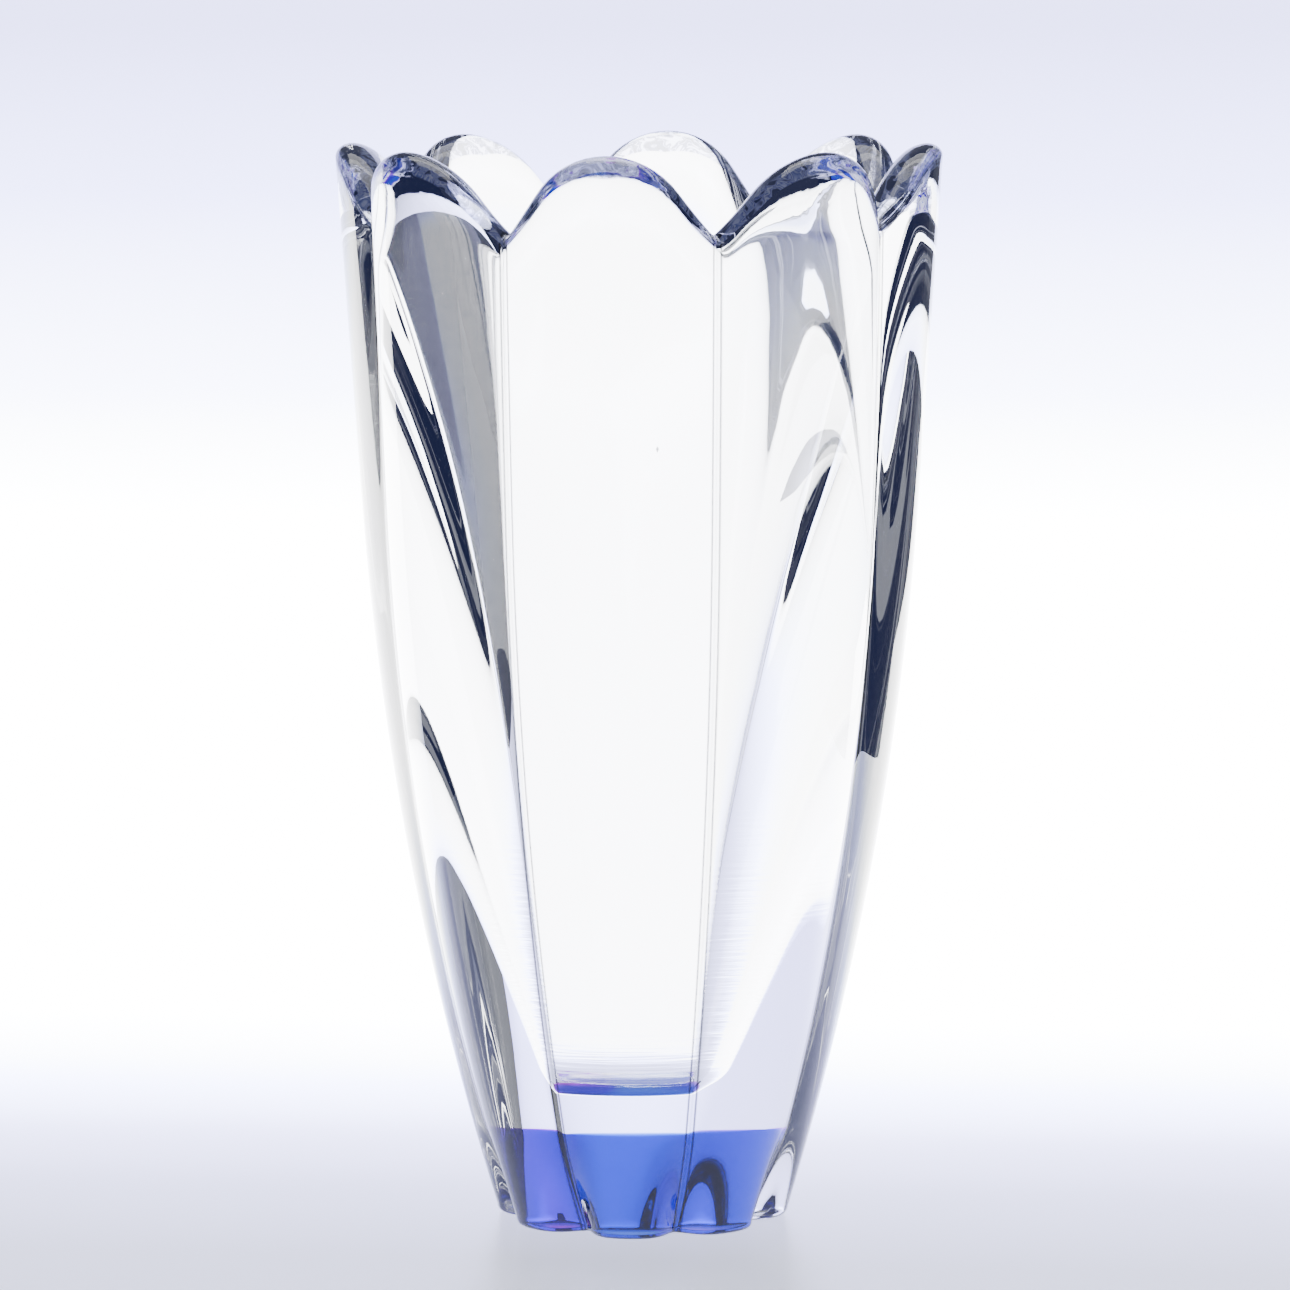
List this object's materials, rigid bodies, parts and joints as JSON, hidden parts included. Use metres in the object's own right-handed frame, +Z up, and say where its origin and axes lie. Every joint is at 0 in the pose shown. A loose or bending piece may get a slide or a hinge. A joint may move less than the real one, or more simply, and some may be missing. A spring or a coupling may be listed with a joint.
{
  "type": "crystal vase",
  "caption": "Thick clear crystal vase with rounded petals, sharp creases, a scalloped rim, a tapering round cavity and a blue glass core in its solid base.",
  "frame": {"origin": "centre of the underside", "axes": "+Z up along the vase's axis, out of its mouth; one petal faces -Y"},
  "size_m": [0.1122, 0.1122, 0.2],
  "materials": {
    "clear_crystal": "polished",
    "cobalt_glass": "polished"
  },
  "bodies": {
    "root": {"crystal_body": "clear_crystal", "blue_core": "cobalt_glass"}
  },
  "joints": []
}
